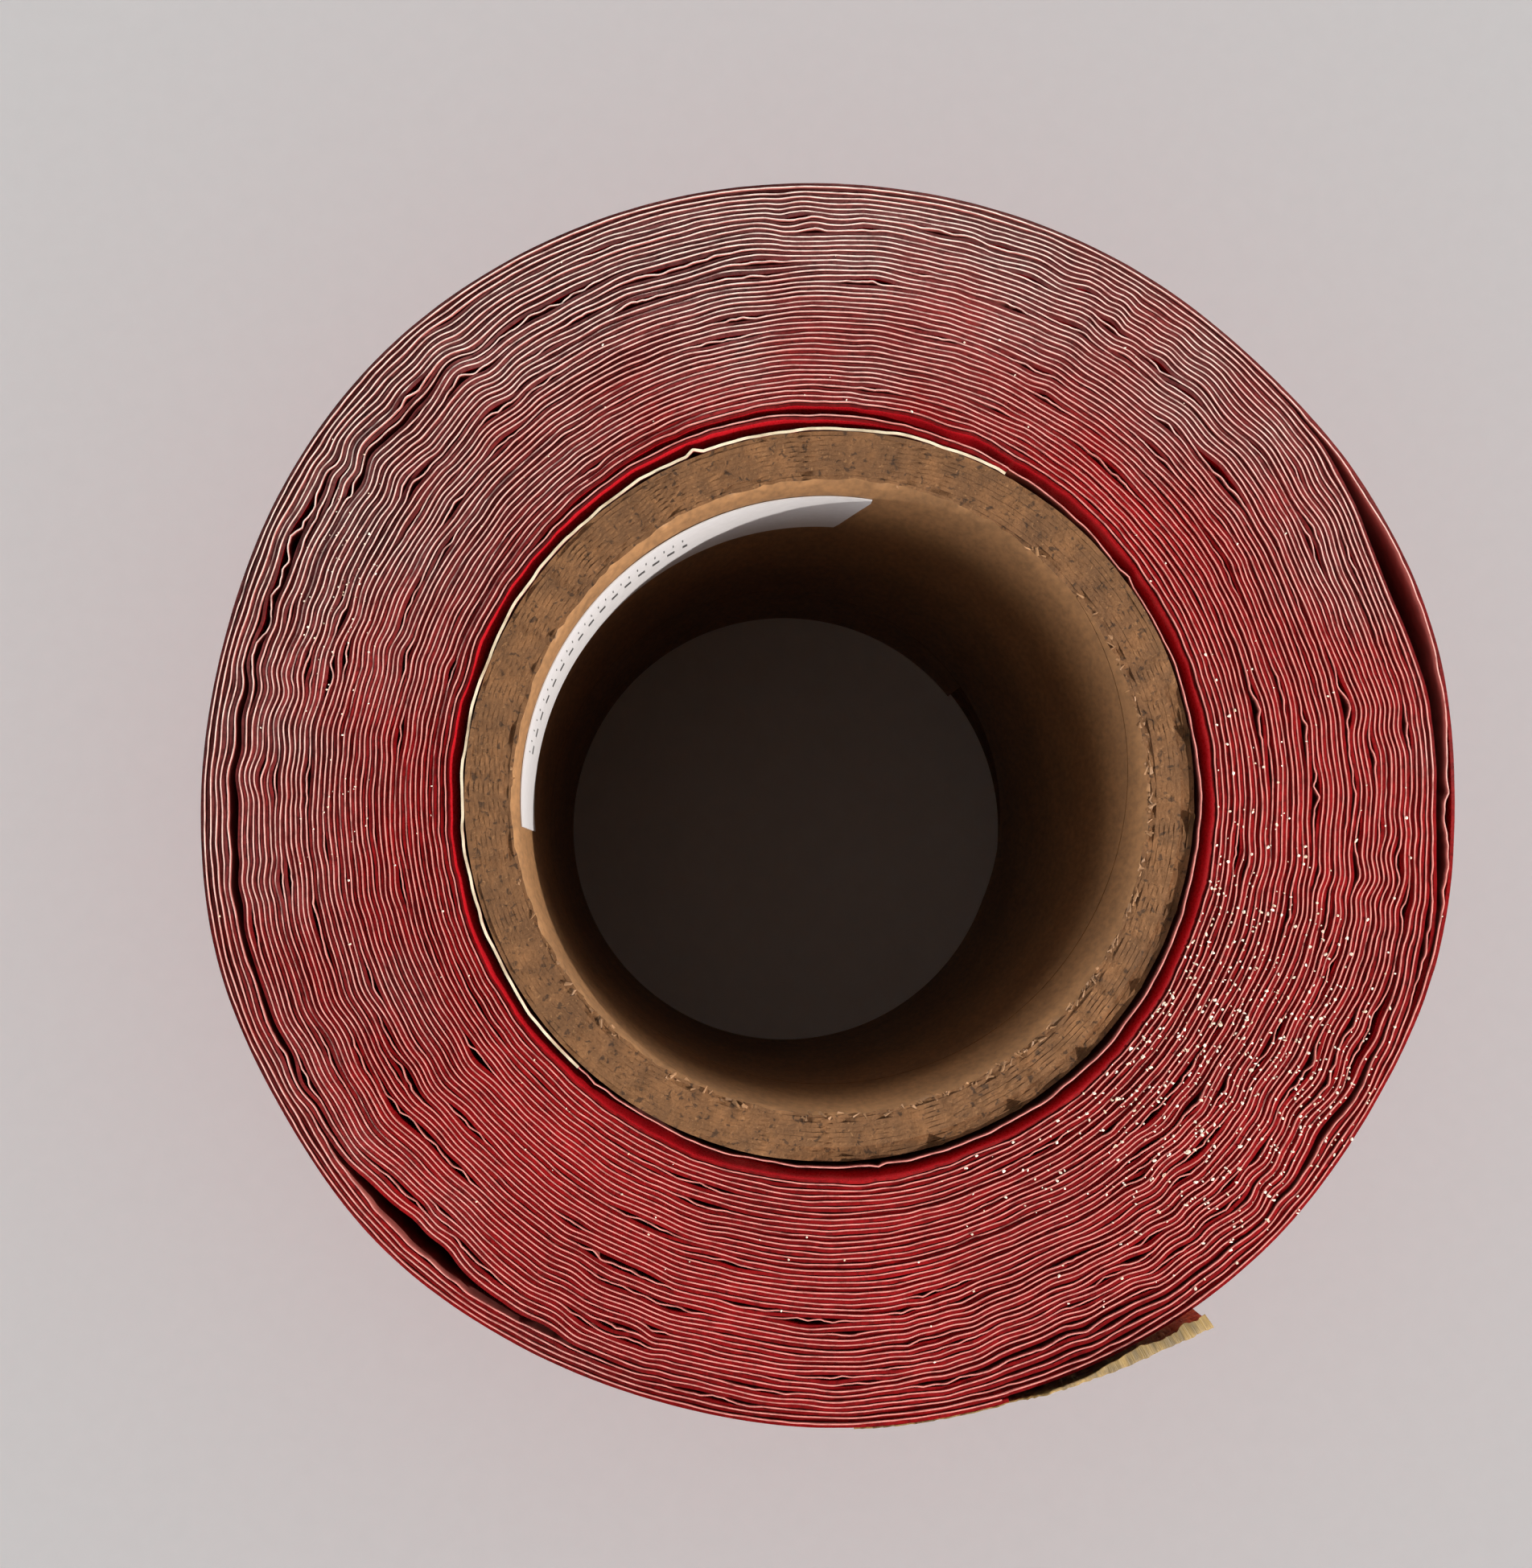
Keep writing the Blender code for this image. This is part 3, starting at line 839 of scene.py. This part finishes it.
def build_facing(name, inner, outer, node):
    """Kraft facing laid on as a spiral strip, with the narrow open seam between its turns."""
    lead = 131 * MM
    seam = 0.35 * MM
    steps_per_turn, turns, rows = 240, 3, 26
    shape = bmesh.new()
    shape.loops.layers.uv.new("strip")
    bmesh.ops.create_grid(shape, x_segments=steps_per_turn * turns, y_segments=rows, size=0.5, calc_uvs=True)
    flat = np.array([v.co[:] for v in shape.verts])
    flat = (flat - flat.min(0)) / np.maximum(np.ptp(flat, axis=0), 1e-9)
    middle = (inner + outer) / 2
    # The seam passes the upper rim at this angle and falls clockwise from it
    rim_angle = math.radians(39)
    for vert, (u, v, _) in zip(shape.verts, flat):
        turn = u * turns
        angle = rim_angle + 2 * math.pi * turn
        z = HEIGHT + (turn - 2) * lead + v * (lead - seam)
        vert.co = (middle * math.cos(angle), middle * math.sin(angle), z)
    for height, normal in ((HEIGHT - 0.05 * MM, (0, 0, 1)), (0.1 * MM, (0, 0, -1))):
        everything = shape.verts[:] + shape.edges[:] + shape.faces[:]
        bmesh.ops.bisect_plane(shape, geom=everything, dist=1e-7, plane_co=(0, 0, height), plane_no=normal,
                               clear_outer=True)
    bmesh.ops.recalc_face_normals(shape, faces=shape.faces)
    piece = new_object(name, mesh_from(shape, name), finish_for(kraft_facing), finish_for(tube_board))
    wall = piece.modifiers.new("thickness", "SOLIDIFY")
    wall.thickness = outer - inner
    wall.offset = 0
    wall.material_offset_rim = 1
    settle(piece)
    points = read_points(piece.data)
    angle = np.arctan2(points[:, 1], points[:, 0]) % (2 * math.pi)
    arc = angle * 40 * MM
    upper = points[:, 2] > HEIGHT - 0.1 * MM
    torn = 0.5 * smooth_noise(arc, 1.3 * MM, 350) + 0.5 * smooth_noise(arc, 4 * MM, 351)
    down = MM * np.clip(0.25 + 0.3 * torn, 0, 0.6)
    if middle > 42 * MM:
        down = down + LEDGE_DEPTH * ledge(angle)
    points[:, 2] -= np.where(upper, down, 0)
    radius = np.hypot(points[:, 0], points[:, 1])
    if middle < 42 * MM:
        tear = 0.55 * smooth_noise(arc, 0.9 * MM, 352) + 0.45 * smooth_noise(arc, 2.6 * MM, 353)
        away = MM * np.clip(0.16 + 0.34 * tear, 0, 0.42) * (upper & (radius < middle))
        points[:, :2] *= (1 + away / radius)[:, None]
    write_points(piece.data, points)
    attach(piece, "roll")
    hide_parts(node)


def build_torn_fibres():
    """Slivers of board and kraft torn up along the core's inner edge."""
    draw = np.random.default_rng(31)
    shape = bmesh.new()
    for _ in range(420):
        angle = draw.uniform(0, 2 * math.pi)
        if draw.uniform() > 0.45 + 0.55 * math.cos(angle - math.radians(-45)):
            continue
        reach = MM * draw.uniform(0.25, 1.1)
        radius = BORE_RADIUS + MM * draw.uniform(0.05, 0.7)
        place = Matrix.Translation((radius * math.cos(angle), radius * math.sin(angle),
                                    HEIGHT - MM * draw.uniform(0.1, 0.4)))
        turn = (Matrix.Rotation(angle + math.pi / 2 + draw.normal() * 0.6, 4, "Z")
                @ Matrix.Rotation(math.pi / 2 + draw.normal() * 0.25, 4, "Y"))
        flat = Matrix.Diagonal((draw.uniform(0.4, 0.9), draw.uniform(0.9, 1.8), 1, 1))
        made = bmesh.ops.create_cone(shape, cap_ends=True, segments=6, radius1=0.10 * MM, radius2=0.03 * MM,
                                     depth=reach, matrix=place @ turn @ flat)
        bend = Vector(draw.normal(size=3)) * 0.12 * MM
        for vert in made["verts"][6:]:
            vert.co += bend
    torn = mesh_from(shape, "core_torn_fibres")
    piece = new_object("core_torn_fibres", torn, finish_for(kraft_facing))
    settle(piece, 60)
    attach(piece, "roll")


# ---------------------------------------------------------------- operators

class CoreOperator(bpy.types.Operator):
    """Builds the paperboard core: two kraft facings and eight plies of board"""
    bl_idname = "vinyl_roll.core"
    bl_label = "Core"

    def execute(self, context):
        sizes = context.scene.roll_sizes
        pitch = (CORE_RADIUS - BORE_RADIUS) / PLY_COUNT
        for index in range(1, PLY_COUNT - 1):
            build_ply(index, sizes)
        skin = 0.02 * MM
        build_facing("core_inner_facing", BORE_RADIUS, BORE_RADIUS + pitch - skin, "core_ply_01")
        build_facing("core_outer_facing", CORE_RADIUS - pitch, CORE_RADIUS, "core_ply_10")
        build_torn_fibres()
        return {"FINISHED"}


class LabelOperator(bpy.types.Operator):
    """Sticks the label on the wall of the bore"""
    bl_idname = "vinyl_roll.label"
    bl_label = "Label"

    def execute(self, context):
        low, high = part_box("core_label")
        angle = np.radians(np.linspace(*LABEL_DEGREES, 121))
        radius = BORE_RADIUS - 0.16 * MM + 0.05 * MM * smooth_noise(angle, 0.35, 401)
        # The right-hand end is cut on a slant
        slant = np.clip((LABEL_DEGREES[1] + LABEL_SLANT - np.degrees(angle)) / LABEL_SLANT, 0, 1)
        low_edge = low.z + slant * 0.9 * (high.z - low.z)
        piece = roll_up("core_label_paper", radius * np.cos(angle), radius * np.sin(angle), low_edge, high.z,
                        0.14 * MM, [finish_for(label_stock)], np.linspace(0, 1, 7))
        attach(piece, "roll")
        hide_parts("core_label")
        return {"FINISHED"}


class LeadTapeOperator(bpy.types.Operator):
    """Tapes the web's lead end to the core"""
    bl_idname = "vinyl_roll.lead_tape"
    bl_label = "Lead tape"

    def execute(self, context):
        low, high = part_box("lead_tape")
        angle = np.radians(np.linspace(*LEAD_TAPE_DEGREES, 91))
        radius = CORE_RADIUS + 0.12 * MM + 0.01 * MM * smooth_noise(angle, 0.05, 411)
        piece = roll_up("lead_end_tape", radius * np.cos(angle), radius * np.sin(angle), low.z, high.z,
                        0.1 * MM, [finish_for(creped_tape)], np.linspace(0, 1, 13))
        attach(piece, "roll")
        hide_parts("lead_tape")
        return {"FINISHED"}


class WoundWebOperator(bpy.types.Operator):
    """Winds film and liner round the core, from the lead end to the first hinge of the tail"""
    bl_idname = "vinyl_roll.wound_web"
    bl_label = "Wound film and liner"

    def execute(self, context):
        sizes = context.scene.roll_sizes
        laid = winding()
        film = [finish_for(calendered_film), finish_for(slit_film_edge)]
        liner = [finish_for(liner_paper), finish_for(slit_liner_edge)]
        end = HINGE_TURNS[0]
        last = end - 1
        first_liner = [finish_for(liner_paper), finish_for(first_liner_edge)]
        flat, tall = (0, 1), np.linspace(0, 1, 11)
        flared = (0, 0.5, 0.9, 0.96, 0.97, 0.98, 0.987, 0.993, 0.997, 1)
        for layer, start, stop, name, levels, nodes in (
                ("film", 0, 1.3, "film_first_lap", flared, []),
                ("film", 1.3, 20, "film_inner_laps", flat, ["vinyl_film_inner_laps"]),
                ("film", 20, 32, "film_middle_laps", flat, ["vinyl_film_middle_lap"]),
                ("film", 32, last, "film_outer_laps", flat, ["vinyl_film_outer_laps"]),
                ("film", last, end, "film_last_lap", tall, ["vinyl_film_last_lap"]),
                ("liner", 0, 0.46, "liner_lead_stretch", flat, []),
                ("liner", 0.46, 1, "liner_first_lap", flat, []),
                ("liner", 1, 20, "liner_inner_laps", flat, ["release_liner_wound"]),
                ("liner", 20, 32, "liner_middle_laps", flat, []),
                ("liner", 32, end, "liner_outer_laps", flat, [])):
            thickness = sizes.film_thickness if layer == "film" else sizes.liner_thickness
            finish = film if layer == "film" else liner
            if name == "liner_lead_stretch":
                thickness, finish = 2.2 * thickness, first_liner
            lean = {"film_first_lap": laid.flare_out, "film_last_lap": soft_ripples}.get(name)
            piece = laid.piece(layer, start, stop, name, thickness, finish, levels, lean)
            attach(piece, "roll")
            if nodes:
                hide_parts(*nodes)
        return {"FINISHED"}


def soft_ripples(angle, first):
    """Slow swells of the film's outer face, fading out towards both of its edges."""
    swell = 0.10 * MM * (smooth_noise(angle, 0.16, 21) + 0.5 * smooth_noise(angle, 0.05, 22))

    def lean(column, up):
        push = swell[column] * np.sin(math.pi * up) * np.cos(3 * up + 4 * angle[column])
        push += 0.05 * MM * np.sin(math.pi * up)
        return np.stack([push * np.cos(angle[column]), push * np.sin(angle[column])], axis=1)
    return lean


class TailOperator(bpy.types.Operator):
    """Lays the tail along the outermost lap: four lengths of film, and three lengths of liner under them"""
    bl_idname = "vinyl_roll.tail"
    bl_label = "Tail"

    def execute(self, context):
        sizes = context.scene.roll_sizes
        laid = winding()
        film = [finish_for(calendered_film), finish_for(slit_film_edge)]
        liner = [finish_for(liner_paper), finish_for(slit_liner_edge)]
        ends = HINGE_TURNS + [LAPS]
        for index in range(4):
            start, stop = ends[index], ends[index + 1]
            piece = laid.piece("film", start, stop, f"film_tail_{index + 1}", sizes.film_thickness, film,
                               np.linspace(0, 1, 11), soft_ripples)
            full = stop if index < 3 else start + (stop - start) * 0.3
            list(laid.point(start))
            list(laid.point(full))
            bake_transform(piece)
            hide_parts(f"vinyl_film_tail_{index + 1}" if index < 3 else "vinyl_film_end")
            if index == 3:
                break
            liner_stop = stop if index < 2 else LAPS - 0.002
            piece = laid.piece("liner", start, liner_stop, f"liner_tail_{index + 1}", sizes.liner_thickness,
                               liner)
            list(laid.point(start))
            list(laid.point(stop))
            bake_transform(piece)
            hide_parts(f"release_liner_tail_{index + 1}")
        return {"FINISHED"}


class TapeTabOperator(bpy.types.Operator):
    """Sticks the tape tab over the tail end, with its free end standing proud"""
    bl_idname = "vinyl_roll.tape_tab"
    bl_label = "Tape tab"

    def execute(self, context):
        sizes = context.scene.roll_sizes
        laid = winding()
        tape = [finish_for(creped_tape)]
        low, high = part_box("tape_tab_stuck")
        proud = (sizes.film_thickness + sizes.tape_thickness) / 2 + 0.06 * MM
        stuck = np.radians(np.linspace(*STUCK_TAPE_DEGREES, 61))
        station = (stuck - LEAD_ANGLE) / (2 * math.pi) * LAP_STATIONS + math.floor(LAPS) * LAP_STATIONS
        index = np.clip(np.rint(station).astype(int), 0, len(laid.film) - 1)
        radius = laid.film[index] + proud + 0.04 * MM * smooth_noise(stuck, 0.012, 501)
        x, y = radius * np.cos(stuck), radius * np.sin(stuck)
        rise = 0.12 * MM * smooth_noise(stuck, 0.01, 502)
        piece = roll_up("tape_stuck_length", x, y, low.z, high.z - 0.15 * MM + rise, sizes.tape_thickness,
                        tape, np.linspace(0, 1, 25), crumple(stuck, 503))
        start = HINGE_TURNS[3]
        full = start + (LAPS - start) * 0.3
        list(laid.point(start))
        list(laid.point(full))
        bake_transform(piece)
        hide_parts("tape_tab_stuck")

        tip_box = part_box("tape_tab_free")
        tip = np.array((tip_box[1].x, tip_box[1].y))
        root = np.array((x[-1], y[-1]))
        share = np.linspace(0, 1, 91)
        bow = 0.7 * MM * np.sin(math.pi * share ** 0.8)
        line = root + (tip - root) * share[:, None]
        across = np.array([tip[1] - root[1], root[0] - tip[0]])
        across /= np.linalg.norm(across)
        line = line + across * bow[:, None]
        # The free end stands a little above the laps, and its upper edge folds in over them
        stand = MM * (0.8 * np.clip(share * 8, 0, 1) + 0.08 * smooth_noise(share, 0.05, 504))
        angle = np.arctan2(line[:, 1], line[:, 0])
        levels = (*np.linspace(0, 0.975, 21), 0.985, 0.988, 0.991, 0.994, 0.997, 1)
        fold = MM * np.minimum(np.clip(share - 0.08, 0, 1) * 3, 0.8 + 1.3 * share)
        piece = roll_up("tape_free_end", line[:, 0], line[:, 1], low.z, high.z + stand, sizes.tape_thickness,
                        tape, levels, crumple(angle, 505, 2.2, fold))
        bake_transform(piece)
        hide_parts("tape_tab_free")
        return {"FINISHED"}


def crumple(angle, seed, amount=1.0, curl=None):
    """Small creases across the tape, strongest at its upper edge, which may curl in towards the roll."""
    coarse = smooth_noise(angle, 0.020, seed)
    fine = smooth_noise(angle, 0.006, seed + 50)

    def lean(column, up):
        creases = coarse[column] * np.cos(5 * up) + 0.6 * fine[column] * np.cos(11 * up + 1)
        push = amount * 0.10 * MM * creases * (0.3 + 0.7 * up ** 3)
        if curl is not None:
            over = np.clip((up - 0.985) / 0.015, 0, 1) ** 1.5
            push -= curl[column] * (0.8 + 0.12 * fine[column] + 0.25 * coarse[column]) * over
        return np.stack([push * np.cos(angle[column]), push * np.sin(angle[column])], axis=1)
    return lean


class DustOperator(bpy.types.Operator):
    """Scatters slitting dust and chips over the ends of the laps"""
    bl_idname = "vinyl_roll.dust"
    bl_label = "Dust"

    def execute(self, context):
        laid = winding()
        draw = np.random.default_rng(77)
        shape = bmesh.new()
        wound = round(HINGE_TURNS[0] * LAP_STATIONS)
        for cx, cy, spread_x, spread_y, count, small, large in DUST_CLOUDS:
            placed = 0
            while placed < count:
                index = int(draw.integers(LAP_STATIONS, wound))
                radius, angle = laid.liner[index], laid.angle[index]
                x, y = radius * math.cos(angle), radius * math.sin(angle)
                density = math.exp(-((x / MM - cx) / spread_x) ** 2 - ((y / MM - cy) / spread_y) ** 2)
                if draw.uniform() > density:
                    continue
                size = MM * (small + (large - small) * draw.uniform() ** 1.3)
                z = laid.liner_top[index] + 0.2 * size
                aside = draw.uniform(-0.15, 0.3) * MM
                x, y = x + aside * math.cos(angle), y + aside * math.sin(angle)
                spin = Matrix.Rotation(draw.uniform(0, 6.28), 4, Vector(draw.normal(size=3)).normalized())
                lengths = [draw.uniform(*span) for span in ((1, 1.7), (0.7, 1.2), (0.6, 1))]
                flat = Matrix.Diagonal((*lengths, 1))
                place = Matrix.Translation((x, y, z)) @ spin @ flat
                made = bmesh.ops.create_icosphere(shape, subdivisions=1, radius=size / 2, matrix=place)
                for vert in made["verts"]:
                    vert.co += Vector(draw.normal(size=3)) * size * 0.08
                placed += 1
        dust = mesh_from(shape, "slitting_dust_chips")
        piece = new_object("slitting_dust_chips", dust, finish_for(paper_dust))
        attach(piece, "roll")
        return {"FINISHED"}


class StageOperator(bpy.types.Operator):
    """Sets the floor, the soft studio light and the camera"""
    bl_idname = "vinyl_roll.stage"
    bl_label = "Studio"

    def execute(self, context):
        scene = context.scene
        light = scene.roll_light
        shape = bmesh.new()
        bmesh.ops.create_grid(shape, x_segments=8, y_segments=8, size=FLOOR_HALF_WIDTH)
        floor = new_object("studio_floor", mesh_from(shape, "studio_floor"), finish_for(studio_floor))

        world = bpy.data.worlds.new("studio")
        world.use_nodes = True
        tree = world.node_tree
        tree.nodes.clear()
        place = add(tree, "ShaderNodeTexCoord").outputs["Generated"]
        height = add(tree, "ShaderNodeSeparateXYZ", {0: place}).outputs["Z"]
        glow = add(tree, "ShaderNodeMapRange", {"Value": height, 1: GLOW_BAND[0], 2: GLOW_BAND[1],
                                                3: light.side_glow, 4: light.top_glow},
                   interpolation_type="SMOOTHSTEP").outputs[0]
        sky = add(tree, "ShaderNodeBackground", {"Color": linear("FFFFFF"), "Strength": glow})
        add(tree, "ShaderNodeOutputWorld", {"Surface": sky.outputs["Background"]})
        scene.world = world

        target = Vector((0, 0, HEIGHT))
        level = math.cos(KEY_HEIGHT)
        toward = Vector((level * math.cos(KEY_ANGLE), level * math.sin(KEY_ANGLE), math.sin(KEY_HEIGHT)))
        lamp = bpy.data.lights.new("key_light", "SPOT")
        lamp.energy = light.key_power
        lamp.color = linear("FFFBF4")[:3]
        lamp.shadow_soft_size = light.key_size
        lamp.spot_size = 2 * math.atan(KEY_BEAM_RADIUS / KEY_DISTANCE)
        lamp.spot_blend = 0.05
        key = bpy.data.objects.new("key_light", lamp)
        scene.collection.objects.link(key)
        key.matrix_world = (Matrix.Translation(target + toward * KEY_DISTANCE)
                            @ toward.to_track_quat("Z", "Y").to_matrix().to_4x4())

        lens = bpy.data.cameras.new("camera")
        lens.lens = CAMERA_LENS
        lens.sensor_width = CAMERA_SENSOR
        lens.shift_x, lens.shift_y = CAMERA_SHIFT
        lens.clip_start = 0.01
        lens.clip_end = 20
        camera = bpy.data.objects.new("camera", lens)
        scene.collection.objects.link(camera)
        camera.location = CAMERA_PLACE
        scene.camera = camera
        scene.view_settings.view_transform = "Standard"
        return {"FINISHED"}


OPERATORS = (StageOperator, CoreOperator, LabelOperator, LeadTapeOperator, WoundWebOperator, TailOperator,
             TapeTabOperator, DustOperator)


class VinylRollPanel(bpy.types.Panel):
    """Shows the roll's sizes, colours and light, and a button for each step"""
    bl_idname = "VIEW3D_PT_vinyl_roll"
    bl_label = "Vinyl roll"
    bl_space_type = "VIEW_3D"
    bl_region_type = "UI"
    bl_category = "Vinyl roll"

    def draw(self, context):
        for group in ("roll_sizes", "roll_colours", "roll_light"):
            settings = getattr(context.scene, group)
            box = self.layout.box()
            for name in settings.__annotations__:
                box.prop(settings, name)
        for operator in OPERATORS:
            self.layout.operator(operator.bl_idname)


GROUPS = (("roll_sizes", RollSizes), ("roll_colours", RollColours), ("roll_light", StageLight))


def register():
    for _, group in GROUPS:
        bpy.utils.register_class(group)
    for name, group in GROUPS:
        setattr(bpy.types.Scene, name, PointerProperty(type=group))
    for shown in (*OPERATORS, VinylRollPanel):
        bpy.utils.register_class(shown)


def unregister():
    for shown in (VinylRollPanel, *reversed(OPERATORS)):
        bpy.utils.unregister_class(shown)
    for name, group in reversed(GROUPS):
        delattr(bpy.types.Scene, name)
        bpy.utils.unregister_class(group)


def main():
    register()
    for operator in OPERATORS:
        getattr(bpy.ops.vinyl_roll, operator.bl_idname.split(".")[1])()


if __name__ == "__main__":
    main()
